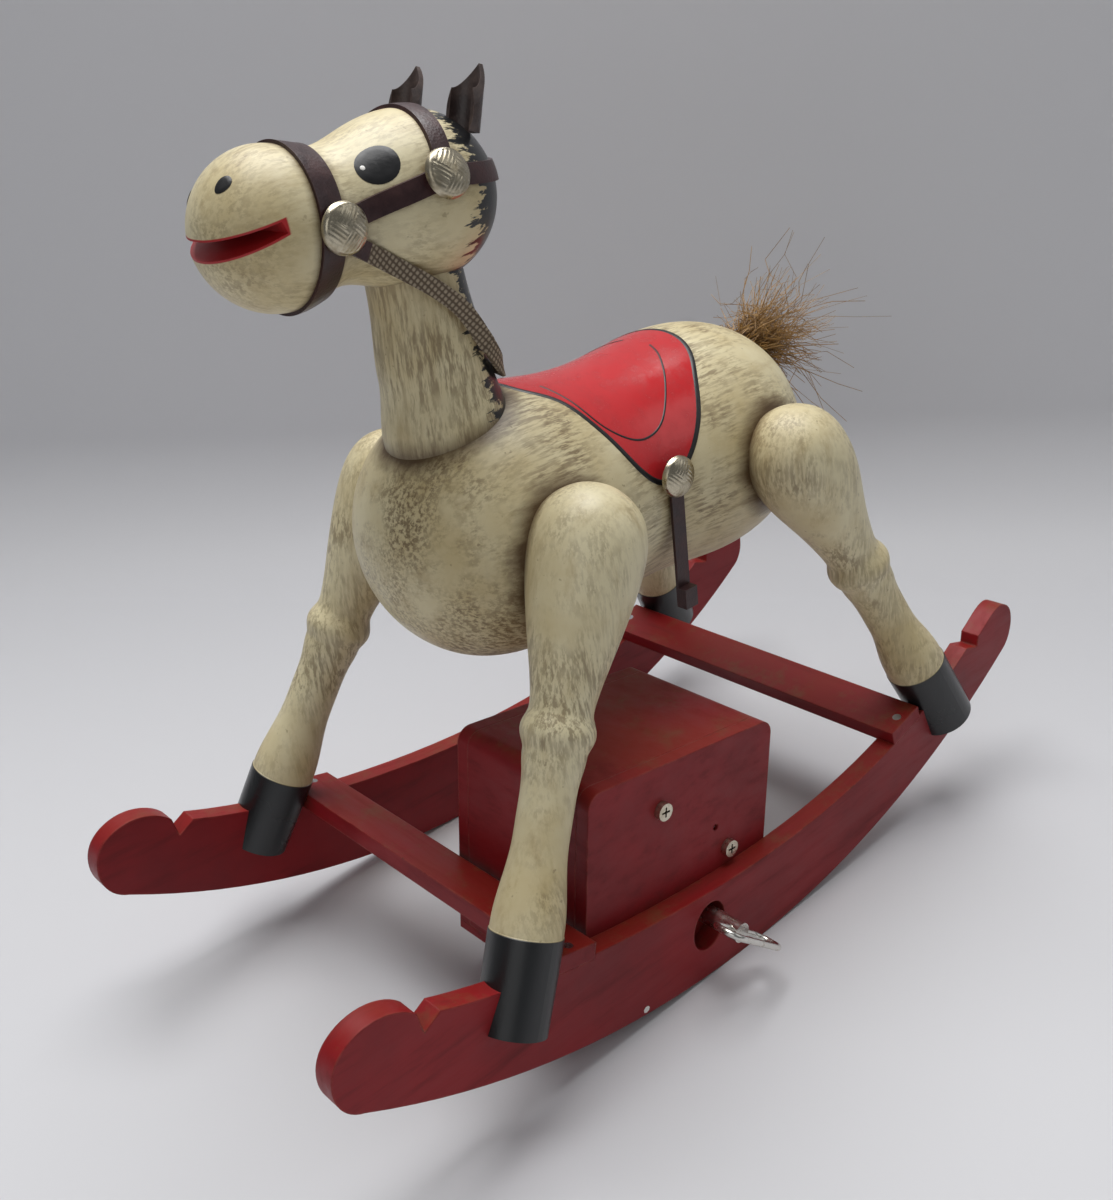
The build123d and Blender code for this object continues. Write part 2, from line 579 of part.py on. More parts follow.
cylinder_foot = case_point(CYLINDER_ACROSS, 0, CYLINDER_DEPTH)
with BuildPart() as music_cylinder:
    add(pin(cylinder_foot, case_up, CYLINDER_RADIUS, CYLINDER_LOW, CYLINDER_HIGH))
    add(pin(cylinder_foot, case_up, 0.8, CYLINDER_LOW - 5.6, CYLINDER_HIGH + 5.4))
    add(wheel(cylinder_foot + case_up * (CYLINDER_LOW - 3.6), case_up, 2.95, 10, 0.8, 2.6, 0.7))
    add(wheel(cylinder_foot + case_up * (CYLINDER_HIGH + 0.9), case_up, 7.2, 32, 0.8, 1.4, 0.7))
tooth_pitch = (CYLINDER_HIGH - CYLINDER_LOW - 1.0) / COMB_TEETH
with BuildPart() as cylinder_pins:
    for row in range(COMB_TEETH):
        height = CYLINDER_LOW + 0.5 + tooth_pitch * (row + 0.5)
        for turn in (70 + 37 * row, 190 + 61 * row):
            angle = math.radians(turn % 360)
            out = case_x * math.cos(angle) + inwards * math.sin(angle)
            add(pin(cylinder_foot + case_up * height, out, 0.2, CYLINDER_RADIUS - 1.0, CYLINDER_RADIUS + 0.55))
with music_cylinder:
    add(cylinder_pins.part, mode=Mode.SUBTRACT)


def case_side_plane(across):
    """A plane square to the case's length: its own x is the depth, its own y is up the case."""
    return Plane(origin=case_point(across, 0, 0), x_dir=(0, 1, 0), z_dir=case_x)


with BuildPart() as cylinder_bracket:
    low, high = CYLINDER_LOW - 5.4, CYLINDER_HIGH + 3.4
    near, far = CYLINDER_DEPTH - 2.2, CYLINDER_DEPTH + 7.8
    with BuildSketch(case_side_plane(CYLINDER_ACROSS - 3)):
        with BuildLine():
            Polyline((PLATE_BACK, high), (far, high), (far, low + BRACKET), (near, low + BRACKET), (near, low),
                     (far + BRACKET, low), (far + BRACKET, high + BRACKET), (PLATE_BACK, high + BRACKET),
                     close=True)
        make_face()
    extrude(amount=6)
    add(pin(cylinder_foot, case_up, 0.84, low - 1, high + 3), mode=Mode.SUBTRACT)

comb_back = CYLINDER_DEPTH
comb_tip = CYLINDER_ACROSS - CYLINDER_RADIUS - 0.75
comb_plane = case_face.offset(-comb_back)
with BuildPart() as comb_base:
    with BuildSketch(case_face.offset(-PLATE_BACK)):
        with Locations((27.5, (CYLINDER_LOW + CYLINDER_HIGH) / 2)):
            Rectangle(7, 21)
    extrude(amount=-(comb_back - PLATE_BACK))
with BuildPart() as comb:
    with BuildSketch(comb_plane):
        with Locations(((24 + comb_tip) / 2, (CYLINDER_LOW + CYLINDER_HIGH) / 2)):
            Rectangle(comb_tip - 24, COMB_TEETH * tooth_pitch)
        for row in range(1, COMB_TEETH):
            with Locations(((32 + comb_tip) / 2, CYLINDER_LOW + 0.5 + tooth_pitch * row)):
                Rectangle(comb_tip - 32, 0.22, mode=Mode.SUBTRACT)
    extrude(amount=-0.8)
with BuildPart() as comb_screws:
    for up in (29.0, 36.5, 44.0):
        add(pin(case_point(27.5, up, comb_back + 0.8), inwards, 1.5, 0, 1.0))
        add(pin(case_point(27.5, up, comb_back + 0.8), inwards, 0.7, -5.0, 0))
for piece in (comb_base, comb):
    with piece:
        add(comb_screws.part, mode=Mode.SUBTRACT)

governor_foot = case_point(GOVERNOR_ACROSS, 0, CYLINDER_DEPTH)
fly_at = case_point(FLY_ACROSS, FLY_UP, 0)
GOVERNOR_LOW, GOVERNOR_HIGH, FRAME_BACK = 30.4, 42.2, 31.0
with BuildPart() as governor_wheel:
    add(pin(governor_foot, case_up, 0.6, GOVERNOR_LOW - 0.2, CYLINDER_HIGH + 2.4))
    add(wheel(governor_foot + case_up * (FLY_UP - 0.5), case_up, GOVERNOR_WHEEL_RADIUS, 26, 0.6, 1.0, 0.5))
    add(wheel(governor_foot + case_up * (CYLINDER_HIGH + 0.9), case_up, 4.1, 18, 1.2, 0.8, 0.5))
with BuildPart() as governor_fly:
    add(pin(fly_at, inwards, 0.4, PLATE_BACK - 1.5, FRAME_BACK + 0.8))
    add(pin(fly_at, inwards, 1.0, CYLINDER_DEPTH - 3.4, CYLINDER_DEPTH + 3.4))
    with BuildSketch(Plane(origin=fly_at + inwards * 26.8, x_dir=case_x, z_dir=inwards)):
        Rectangle(7.6, 0.7)
        Rectangle(0.7, 7.6)
    extrude(amount=3.4)
with BuildPart() as governor_frame:
    with BuildSketch(case_side_plane(52.4)):
        with BuildLine():
            Polyline((PLATE_BACK, GOVERNOR_LOW), (FRAME_BACK + BRACKET, GOVERNOR_LOW),
                     (FRAME_BACK + BRACKET, GOVERNOR_HIGH + BRACKET), (PLATE_BACK, GOVERNOR_HIGH + BRACKET),
                     (PLATE_BACK, GOVERNOR_HIGH), (FRAME_BACK, GOVERNOR_HIGH),
                     (FRAME_BACK, GOVERNOR_LOW + BRACKET), (PLATE_BACK, GOVERNOR_LOW + BRACKET), close=True)
        make_face()
    extrude(amount=FLY_ACROSS + 2.6 - 52.4)
    add(pin(governor_foot, case_up, 0.64, 20, 60), mode=Mode.SUBTRACT)
    add(pin(fly_at, inwards, 0.44, FRAME_BACK - 1, FRAME_BACK + 3), mode=Mode.SUBTRACT)

with BuildPart() as movement_screws:
    for across, up in SCREWS_AT:
        at = case_point(across, up, 0)
        add(pin(at, inwards, 2.55, -1.9, 0))
        add(pin(at, inwards, 1.25, 0, PLATE_BACK - 0.3))
        with BuildSketch(Plane(origin=at + outwards * 1.9, x_dir=case_x, z_dir=outwards)):
            Rectangle(3.0, 0.6)
            Rectangle(0.6, 3.0)
        extrude(amount=-0.9, mode=Mode.SUBTRACT)
with BuildPart() as stop_wire:
    add(pin(case_point(*STOP_WIRE_AT, 0), inwards, 0.6, 0.8, 15.4))

# ---- files -------------------------------------------------------------------------------
pieces = {
    "rocker_left": rockers["left"], "rocker_right": rockers["right"], "front_slat": front_slat,
    "rear_slat": rear_slat, "slat_nails": slat_nails, "body": body, "neck": neck,
    "neck_dowel": neck_dowel, "head": head, "head_dowel": head_dowel, **legs,
    "leg_dowels": leg_dowels, **ears, "noseband": noseband, "crown_strap": crown_strap,
    "nape_strap": nape_strap, "cheek_strap_left": cheek_straps["left"],
    "cheek_strap_right": cheek_straps["right"], "reins": reins, "bridle_tacks": bridle_tacks,
    "saddle_tacks": saddle_tacks, **stirrups, "tail_tuft": tail_tuft, "case_hood": case_hood,
    "case_left_side": case_left_side, "case_right_side": case_right_side, "case_base": case_base,
    "case_base_screws": case_base_screws, "movement_bedplate": movement_bedplate,
    "spring_housing": spring_housing, "mainspring": mainspring, "winding_arbor": winding_arbor,
    "great_wheel": great_wheel, "winding_key_stem": key_stem, "winding_key_loop": key_loop,
    "music_cylinder": music_cylinder, "cylinder_pins": cylinder_pins,
    "cylinder_bracket": cylinder_bracket, "comb_base": comb_base, "comb": comb,
    "comb_screws": comb_screws, "governor_frame": governor_frame, "governor_wheel": governor_wheel,
    "governor_fly": governor_fly, "movement_screws": movement_screws, "stop_wire": stop_wire,
}
for name, piece in pieces.items():
    finish(piece, name)
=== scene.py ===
"""Wooden rocking horse with a music box: materials, painted features, leather, hair and a stage."""
import math
import random

import bpy
from mathutils import Matrix, Vector
from mathutils.bvhtree import BVHTree


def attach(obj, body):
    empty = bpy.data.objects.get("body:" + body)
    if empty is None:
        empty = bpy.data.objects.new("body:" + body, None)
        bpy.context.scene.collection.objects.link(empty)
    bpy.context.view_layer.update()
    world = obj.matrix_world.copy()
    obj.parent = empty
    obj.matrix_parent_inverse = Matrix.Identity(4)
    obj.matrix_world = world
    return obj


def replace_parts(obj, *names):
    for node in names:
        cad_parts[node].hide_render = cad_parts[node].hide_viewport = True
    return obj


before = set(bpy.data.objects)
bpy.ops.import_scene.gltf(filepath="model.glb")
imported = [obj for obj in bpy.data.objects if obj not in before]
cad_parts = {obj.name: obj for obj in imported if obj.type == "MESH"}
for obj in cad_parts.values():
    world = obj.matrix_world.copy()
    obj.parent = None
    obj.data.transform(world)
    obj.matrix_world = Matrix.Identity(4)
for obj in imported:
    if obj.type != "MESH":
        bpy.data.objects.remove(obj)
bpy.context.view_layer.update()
random.seed(7)
MM = 0.001
BODY_AXIS = Vector((0, 0, 0.131))
HEAD_AXIS = Vector((0, 0, 0.220))


# ---- camera and stage --------------------------------------------------------------------
CAMERA_AT = (-0.2297, -0.2724, 0.2660)
CAMERA_AZIMUTH, CAMERA_ELEVATION, CAMERA_ROLL = math.radians(-39.61), math.radians(25.01), math.radians(-6.59)


def make_camera():
    """A camera at the toy's front left, a little above it. The roll belongs to the toy, which
    stands here in balance on its rockers."""
    data = bpy.data.cameras.new("camera")
    data.lens, data.sensor_width = 39.6, 36.0
    data.shift_x, data.shift_y = -0.0014, -0.0082
    data.clip_start, data.clip_end = 0.01, 20
    camera = bpy.data.objects.new("camera", data)
    bpy.context.collection.objects.link(camera)
    turn = Matrix.Rotation(CAMERA_AZIMUTH, 4, "Z") @ Matrix.Rotation(math.pi / 2 - CAMERA_ELEVATION, 4, "X")
    camera.matrix_world = Matrix.Translation(CAMERA_AT) @ turn @ Matrix.Rotation(CAMERA_ROLL, 4, "Z")
    bpy.context.scene.camera = camera


make_camera()


# ---- node helpers ------------------------------------------------------------------------
class Shader:
    """A small builder of node materials, in object coordinates (metres)."""

    def __init__(self, name):
        self.material = bpy.data.materials.new(name)
        self.material.use_nodes = True
        self.tree = self.material.node_tree
        self.bsdf = self.tree.nodes["Principled BSDF"]
        self.place = self.tree.nodes.new("ShaderNodeTexCoord").outputs["Object"]

    def link(self, value, socket):
        if hasattr(value, "is_output"):
            self.tree.links.new(value, socket)
        elif isinstance(value, (tuple, list)) and len(value) == 3 and socket.type == "RGBA":
            socket.default_value = (*value, 1)
        else:
            socket.default_value = value

    def node(self, kind, output, **values):
        node = self.tree.nodes.new(kind)
        for key, value in values.items():
            if key.startswith("in_"):
                self.link(value, node.inputs[key[3:].replace("_", " ")])
            else:
                setattr(node, key, value)
        return node.outputs[output]

    def math(self, operation, a, b=0.0, c=None, clamp=False):
        node = self.tree.nodes.new("ShaderNodeMath")
        node.operation, node.use_clamp = operation, clamp
        for at, value in enumerate((a, b) if c is None else (a, b, c)):
            self.link(value, node.inputs[at])
        return node.outputs[0]

    def mix(self, amount, a, b):
        node = self.tree.nodes.new("ShaderNodeMix")
        node.data_type = "RGBA"
        self.link(amount, node.inputs[0])
        self.link(a, node.inputs[6])
        self.link(b, node.inputs[7])
        return node.outputs[2]

    def stretched(self, scale, turn=(0, 0, 0)):
        return self.node("ShaderNodeMapping", 0, in_Vector=self.place, in_Scale=scale, in_Rotation=turn)

    def noise(self, scale, detail=4, rough=0.6, place=None):
        return self.node("ShaderNodeTexNoise", 0, in_Vector=place or self.place, in_Scale=scale,
                         in_Detail=detail, in_Roughness=rough)

    def ramp(self, value, low, high, out_low=0.0, out_high=1.0):
        node = self.tree.nodes.new("ShaderNodeMapRange")
        for at, item in enumerate((value, low, high, out_low, out_high)):
            self.link(item, node.inputs[at])
        return node.outputs[0]

    def axis(self, name):
        return self.node("ShaderNodeSeparateXYZ", name, in_Vector=self.place)

    def crease(self, reach):
        return self.math("SUBTRACT", 1.0, self.node("ShaderNodeAmbientOcclusion", "AO", samples=4,
                                                    in_Distance=reach))

    def edges(self, radius):
        """How far the surface is rounded over an edge, from 0 on the flat to 1 at the edge."""
        rounded = self.node("ShaderNodeBevel", 0, samples=4, in_Radius=radius)
        flat = self.node("ShaderNodeNewGeometry", "Normal")
        node = self.tree.nodes.new("ShaderNodeVectorMath")
        node.operation = "DOT_PRODUCT"
        self.tree.links.new(rounded, node.inputs[0])
        self.tree.links.new(flat, node.inputs[1])
        return self.ramp(node.outputs["Value"], 0.995, 0.86)

    def finish(self, color, roughness=0.5, height=None, depth=0.0002, strength=0.6, **fixed):
        self.link(color, self.bsdf.inputs["Base Color"])
        self.link(roughness, self.bsdf.inputs["Roughness"])
        if height is not None:
            normal = self.node("ShaderNodeBump", 0, in_Strength=strength, in_Distance=depth, in_Height=height)
            self.link(normal, self.bsdf.inputs["Normal"])
        for key, value in fixed.items():
            self.bsdf.inputs[key.replace("_", " ")].default_value = value
        return self.material


# ---- paints ------------------------------------------------------------------------------
IVORY, IVORY_WARM, WASH = (0.70, 0.625, 0.405), (0.53, 0.42, 0.205), (0.14, 0.085, 0.034)
SLATE = (0.007, 0.008, 0.009)


NEAR = "near"  # how near a joint the surface is, from 0 to 1 where the two pieces touch


def ivory_paint(name, grain_scale, grime=1.0, dark=None, red=None):
    """Cream paint over open-pored wood with a brown antique wash in its pores and joints, and painted shade
    where ambient occlusion finds it hemmed in, such as in creases and under the belly.
    dark and red are functions that return a mask of dark paint and one of red paint."""
    s = Shader(name)
    broad = s.noise(22, 5, 0.62)
    grain = s.noise(160, 6, 0.7, s.stretched(grain_scale))
    pores = s.noise(900, 3, 0.7, s.stretched(grain_scale))
    specks = s.noise(520, 2, 0.5)
    color = s.mix(s.ramp(broad, 0.40, 0.66, 0.0, 0.85), IVORY, IVORY_WARM)
    color = s.mix(s.ramp(grain, 0.52, 0.74, 0.0, 0.60), color, (0.36, 0.26, 0.110))
    patches = s.math("MULTIPLY", s.ramp(s.noise(34, 4, 0.7), 0.42, 0.62), s.ramp(pores, 0.44, 0.58))
    color = s.mix(s.math("MULTIPLY", patches, 0.80 * grime), color, WASH)
    color = s.mix(s.ramp(specks, 0.70, 0.76, 0.0, 0.55 * grime), color, WASH)
    # painted shade: a brown darkening from ambient occlusion with a 45 mm reach, strongest in creases and under
    # the body, broken up by the pores
    shade = s.math("MULTIPLY", s.ramp(s.crease(0.045), 0.16, 0.60), s.ramp(pores, 0.40, 0.60, 0.35, 1.0))
    color = s.mix(s.math("MULTIPLY", shade, 0.85), color, (0.21, 0.135, 0.055))
    near = s.node("ShaderNodeAttribute", "Fac", attribute_name=NEAR)
    ragged = s.ramp(s.math("MULTIPLY_ADD", s.math("SUBTRACT", grain, 0.5), 1.1, near), 0.22, 0.98)
    color = s.mix(s.math("MULTIPLY", ragged, 0.96 * grime, clamp=True), color, (0.090, 0.048, 0.015))
    roughness = s.ramp(broad, 0.3, 0.7, 0.38, 0.56)
    if dark is not None:
        dark_mask = dark(s)
        color = s.mix(dark_mask, color, SLATE)
        roughness = s.math("MULTIPLY_ADD", dark_mask, -0.16, roughness)
    if red is not None:
        color = s.mix(red(s), color, (0.40, 0.010, 0.012))
    height = s.math("ADD", s.math("MULTIPLY", grain, 0.5), s.math("MULTIPLY", pores, 0.5))
    return s.finish(color, roughness, height, depth=0.00025, strength=0.35,
                    Coat_Weight=0.12, Coat_Roughness=0.35)


STREAK_LENGTH, STREAK_SOFT = 0.028, 0.0006
HEAD_DARK_FROM, MANE_FROM = -0.0310, -0.0306  # x of the dark paint's edges, on the neck at its foot
NECK_FOOT_Z, NECK_LEAN = 0.163, -0.08


def streaky(s, value):
    """A dry-brushed edge: value rises through zero at the edge and is broken up into streaks."""
    bristles = s.noise(520, 4, 0.65, s.stretched((0.10, 1, 1)))
    broken = s.math("MULTIPLY", s.math("SUBTRACT", bristles, 0.5), STREAK_LENGTH)
    return s.ramp(s.math("ADD", value, broken), -STREAK_SOFT, STREAK_SOFT)


def head_dark(s):
    """Dark paint behind the ears and over the back of the head."""
    return streaky(s, s.math("ADD", s.axis("X"), -HEAD_DARK_FROM))


def mane_dark(s):
    """The dark mane down the back of the neck, whose axis leans towards the head."""
    lean = s.math("MULTIPLY", s.math("SUBTRACT", s.axis("Z"), NECK_FOOT_Z), NECK_LEAN)
    behind = s.math("SUBTRACT", s.axis("X"), s.math("ADD", lean, MANE_FROM))
    return streaky(s, behind)


def mouth_red(s):
    """The sawn faces of the mouth, which lie inside the head's turned skin."""
    x, z = s.axis("X"), s.axis("Z")
    above_lower = s.ramp(s.math("SUBTRACT", z, s.math("MULTIPLY_ADD", x, 0.3816, 0.25262)), -0.0006, -0.0004)
    below_upper = s.ramp(s.math("SUBTRACT", z, s.math("MULTIPLY_ADD", x, 0.25, 0.24455)), 0.0006, 0.0004)
    inside = s.math("MULTIPLY", above_lower, below_upper)
    return s.math("MULTIPLY", inside, s.ramp(x, -0.0812, -0.0816))


def hoof_dark(slope_x, slope_y, level):
    """A black hoof below the fetlock: height along the sloping leg is z, less its share of x and
    of how far out the leg stands. level is where the hoof starts."""
    def mask(s):
        outward = s.math("ABSOLUTE", s.axis("Y"))
        along = s.math("ADD", s.axis("Z"), s.math("MULTIPLY", s.axis("X"), slope_x))
        along = s.math("ADD", along, s.math("MULTIPLY", outward, slope_y))
        return s.ramp(along, level + 0.00015, level - 0.00015)
    return mask


def red_paint(name, grain_scale=(0.12, 1, 1)):
    """Deep red paint on plain wood, rubbed at its edges, with brown dust on what faces up, painted light that
    makes what faces up a lighter red, and painted shade in its creases.
    """
    s = Shader(name)
    broad = s.noise(26, 5, 0.6)
    grain = s.noise(240, 6, 0.65, s.stretched(grain_scale))
    fine = s.noise(900, 3, 0.6, s.stretched(grain_scale))
    color = s.mix(s.ramp(broad, 0.35, 0.70), (0.27, 0.008, 0.012), (0.170, 0.005, 0.008))
    color = s.mix(s.ramp(grain, 0.52, 0.75, 0.0, 0.5), color, (0.070, 0.008, 0.007))
    up = s.node("ShaderNodeSeparateXYZ", "Z", in_Vector=s.node("ShaderNodeNewGeometry", "Normal"))
    upward = s.ramp(up, 0.55, 0.95)
    # painted light: faces turned up are mixed towards a lighter red, in broad patches
    color = s.mix(s.math("MULTIPLY", upward, s.ramp(broad, 0.38, 0.58, 0.1, 0.65)), color, (0.26, 0.020, 0.010))
    dust = s.math("MULTIPLY", upward, s.ramp(s.noise(90, 5, 0.75), 0.52, 0.70, 0.0, 0.55))
    color = s.mix(dust, color, (0.17, 0.075, 0.030))
    # painted shade: dark brown in creases and between parts, from ambient occlusion, broken up by the grain
    crease = s.math("MULTIPLY", s.ramp(s.crease(0.008), 0.35, 0.85), s.ramp(grain, 0.30, 0.62))
    color = s.mix(s.math("MULTIPLY", crease, 0.8), color, (0.07, 0.022, 0.010))
    edge = s.edges(0.0009)
    worn = s.math("MULTIPLY", edge, s.ramp(s.noise(130, 4, 0.7), 0.42, 0.60))
    color = s.mix(s.math("MULTIPLY", worn, 0.55), color, (0.44, 0.10, 0.07))
    chips = s.math("MULTIPLY", edge, s.ramp(s.noise(210, 4, 0.75), 0.60, 0.66))
    color = s.mix(s.math("MULTIPLY", chips, 0.8), color, (0.10, 0.045, 0.022))
    height = s.math("ADD", s.math("MULTIPLY", grain, 0.7), s.math("MULTIPLY", fine, 0.3))
    material = s.finish(color, s.ramp(grain, 0.35, 0.70, 0.36, 0.58), height, depth=0.00022, strength=0.35,
                        Specular_IOR_Level=0.3)
    s.link(s.node("ShaderNodeBevel", 0, samples=4, in_Radius=0.0007),
           s.bsdf.inputs["Normal"].links[0].from_node.inputs["Normal"])
    return material


def plain_paint(name, color, roughness=0.4, mottle=0.25):
    s = Shader(name)
    tone = s.noise(180, 5, 0.65)
    shade = tuple(part * 0.45 for part in color)
    mixed = s.mix(s.ramp(tone, 0.45, 0.75, 0.0, mottle), color, shade)
    return s.finish(mixed, s.ramp(tone, 0.3, 0.7, roughness - 0.08, roughness + 0.12), s.noise(700, 3), 0.00008)


def leather(name, color, light):
    s = Shader(name)
    cells = s.node("ShaderNodeTexVoronoi", "Distance", in_Vector=s.place, in_Scale=1500.0)
    tone = s.noise(120, 5, 0.7)
    mixed = s.mix(s.ramp(tone, 0.42, 0.72, 0.0, 0.65), color, light)
    mixed = s.mix(s.math("MULTIPLY", s.edges(0.0003), 0.4), mixed, light)
    return s.finish(mixed, s.ramp(tone, 0.3, 0.7, 0.30, 0.50), cells, 0.00010, 0.45)


def weave(name):
    """The woven cloth on the back of the rein's vinyl."""
    s = Shader(name)
    turned = s.stretched((1, 1, 1), (0, math.radians(42), 0))
    waves = [s.node("ShaderNodeTexWave", "Color", in_Vector=turned, in_Scale=240.0, in_Distortion=0.6,
                    bands_direction=axis) for axis in ("X", "Z")]
    cloth = s.math("MULTIPLY", waves[0], waves[1])
    mixed = s.mix(s.ramp(cloth, 0.0, 0.55), (0.10, 0.07, 0.045), (0.34, 0.28, 0.20))
    return s.finish(mixed, 0.85, cloth, 0.0002, 0.7)


METAL_BUMP = 0.000004


def metal(name, color, dull, roughness=0.24, tarnish=0.6):
    """Worn metal: dull in patches and dark in its creases."""
    s = Shader(name)
    tone = s.noise(260, 6, 0.7)
    mixed = s.mix(s.ramp(tone, 0.48, 0.72, 0.0, tarnish), color, dull)
    crease = s.ramp(s.crease(0.002), 0.35, 0.9)
    mixed = s.mix(s.math("MULTIPLY", crease, 0.8), mixed, tuple(part * 0.25 for part in dull))
    return s.finish(mixed, s.ramp(tone, 0.35, 0.7, roughness, roughness + 0.2), s.noise(1400, 2),
                    METAL_BUMP, strength=0.25, Metallic=1.0)


def hair_material():
    s = Shader("tail_hair")
    tone = s.noise(300, 3, 0.6)
    mixed = s.mix(s.ramp(tone, 0.35, 0.68), (0.42, 0.235, 0.065), (0.15, 0.075, 0.022))
    return s.finish(mixed, 0.55, s.noise(1500, 2), 0.00004)


LENGTHWISE, LEGWISE = (0.14, 1, 1), (1, 1, 0.14)


def hoof_plane(hip, hoof, below_fetlock):
    """The plane square to a leg at its fetlock, as the slopes and the level for hoof_dark."""
    leg = Vector(hoof) - Vector(hip)
    along = leg.normalized()
    start = Vector(hoof) - along * below_fetlock
    return along.x / along.z, along.y / along.z, start.dot(along) / along.z * MM


FRONT_HOOF = hoof_plane((-27.1, 41.7, 135.8), (-82.1, 60.3, 38.1), 14.2)
REAR_HOOF = hoof_plane((55.8, 41.7, 132.5), (98.8, 60.3, 39.6), 14.2)
materials = {
    "body": ivory_paint("ivory_body", LENGTHWISE),
    "head": ivory_paint("ivory_head", (0.25, 1, 1), 0.6, head_dark, mouth_red),
    "neck": ivory_paint("ivory_neck", LEGWISE, 0.8, mane_dark),
    "leg_front": ivory_paint("ivory_front_leg", LEGWISE, 0.75, hoof_dark(*FRONT_HOOF)),
    "leg_rear": ivory_paint("ivory_rear_leg", LEGWISE, 0.75, hoof_dark(*REAR_HOOF)),
    "red_length": red_paint("red_rocker"),
    "red_cross": red_paint("red_slat", (1, 0.12, 1)),
    "red_case": red_paint("red_case", (0.5, 0.3, 1)),
        "black": plain_paint("line_black", (0.008, 0.008, 0.009), 0.38, 0.1),
    "saddle": plain_paint("saddle_red", (0.52, 0.022, 0.026), 0.20, 0.3),
    "white": plain_paint("dot_white", (0.85, 0.83, 0.78), 0.3, 0.1),
    "plum": leather("plum_vinyl", (0.024, 0.007, 0.008), (0.085, 0.032, 0.030)),
    "ear": leather("ear_leather", (0.030, 0.018, 0.016), (0.14, 0.095, 0.08)),
    "cloth": weave("rein_cloth"),
    "tack": metal("tack_metal", (0.50, 0.45, 0.34), (0.22, 0.17, 0.095), 0.22, 0.7),
    "steel": metal("steel", (0.52, 0.52, 0.53), (0.30, 0.28, 0.25)),
    "nickel": metal("nickel", (0.66, 0.64, 0.60), (0.40, 0.36, 0.28), 0.16, 0.45),
    "screw": metal("screw_metal", (0.62, 0.57, 0.46), (0.36, 0.29, 0.17), 0.22, 0.5),
    "brass": metal("brass", (0.62, 0.45, 0.19), (0.30, 0.20, 0.08), 0.28),
    "wood": ivory_paint("bare_wood", LENGTHWISE, 0.4),
    "hair": hair_material(),
}


def node_object(name):
    """The CAD piece of a name, as imported from model.glb."""
    return bpy.data.objects[name]


def paint(names, material):
    for name in names:
        item = node_object(name)
        item.data.materials.clear()
        item.data.materials.append(materials[material])


def nodes_starting(*starts):
    return [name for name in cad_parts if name.startswith(starts)]


paint(["body"], "body")
paint(["head"], "head")
paint(["neck"], "neck")
paint(nodes_starting("leg_front"), "leg_front")
paint(nodes_starting("leg_rear"), "leg_rear")
paint(nodes_starting("rocker_"), "red_length")
paint(["front_slat", "rear_slat"], "red_cross")
paint(["case_hood", "case_left_side", "case_right_side", "case_base"], "red_case")
paint(nodes_starting("noseband", "crown", "nape", "cheek", "stirrup", "reins"), "plum")
paint(nodes_starting("ear_"), "ear")
paint(["bridle_tacks", "saddle_tacks"], "tack")
paint(["slat_nails", "case_base_screws", "mainspring", "winding_arbor", "cylinder_pins", "cylinder_bracket",
       "comb", "comb_screws", "governor_frame", "governor_fly", "stop_wire"], "steel")
paint(["winding_key_stem", "winding_key_loop"], "nickel")
paint(["movement_screws"], "screw")
paint(["movement_bedplate", "spring_housing", "great_wheel", "music_cylinder", "comb_base",
       "governor_wheel"], "brass")
paint(["neck_dowel", "head_dowel", "leg_dowels"], "wood")
paint(["tail_tuft"], "hair")


# ---- mesh helpers ------------------------------------------------------------------------
def new_piece(name, vertices, faces, material, smooth=True):
    """A visible piece that rides on the horse, with its material."""
    mesh = bpy.data.meshes.new(name)
    mesh.from_pydata([tuple(v) for v in vertices], [], faces)
    mesh.update()
    item = bpy.data.objects.new(name, mesh)
    bpy.context.collection.objects.link(item)
    mesh.materials.append(materials[material])
    if smooth:
        mesh.polygons.foreach_set("use_smooth", [True] * len(mesh.polygons))
    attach(item, "horse")
    return item


def surface(name):
    """A search tree of a CAD piece's faces."""
    mesh = node_object(name).data
    return BVHTree.FromPolygons([v.co for v in mesh.vertices], [p.vertices for p in mesh.polygons])


skins = {name: surface(name) for name in ("body", "head", "neck")}


def smooth_loop(points, steps=10, closed=True):
    """A Catmull-Rom curve through a few points, as a list of points."""
    result = []
    count = len(points)
    for at in range(count if closed else count - 1):
        around = [points[(at + k) % count] if closed else points[min(max(at + k, 0), count - 1)]
                  for k in (-1, 0, 1, 2)]
        for step in range(steps):
            t = step / steps
            a, b, c, d = around
            result.append(0.5 * ((2 * b) + (c - a) * t + (2 * a - 5 * b + 4 * c - d) * t**2
                                 + (3 * b - a - 3 * c + d) * t**3))
    if not closed:
        result.append(points[-1])
    return result


def on_skin(skin, axis_point, target, lift):
    """Drops a point onto a turned piece's skin, outwards from its axis, and lifts it clear."""
    foot = Vector((target.x, axis_point.y, axis_point.z))
    out = (target - foot).normalized()
    hit, normal, _, _ = skin.ray_cast(foot + out * 0.12, -out)
    if hit is None:
        hit, normal = target, out
    if normal.dot(out) < 0:
        normal = -normal
    return hit + normal * lift


def patch(name, outline, skin, axis_point, lift, material, rings):
    """A thin coat of paint: a filled outline, laid on a turned piece's skin."""
    centre = sum(outline, Vector()) / len(outline)
    vertices, faces = [on_skin(skin, axis_point, centre, lift)], []
    for ring in range(1, rings + 1):
        for point in outline:
            vertices.append(on_skin(skin, axis_point, centre.lerp(point, ring / rings),
                                    lift if ring < rings else lift * 0.3))
    count = len(outline)
    for at in range(count):
        after = (at + 1) % count
        faces.append((0, 1 + at, 1 + after))
        for ring in range(rings - 1):
            low, high = 1 + ring * count, 1 + (ring + 1) * count
            faces.append((low + at, high + at, high + after, low + after))
    return new_piece(name, vertices, faces, material)


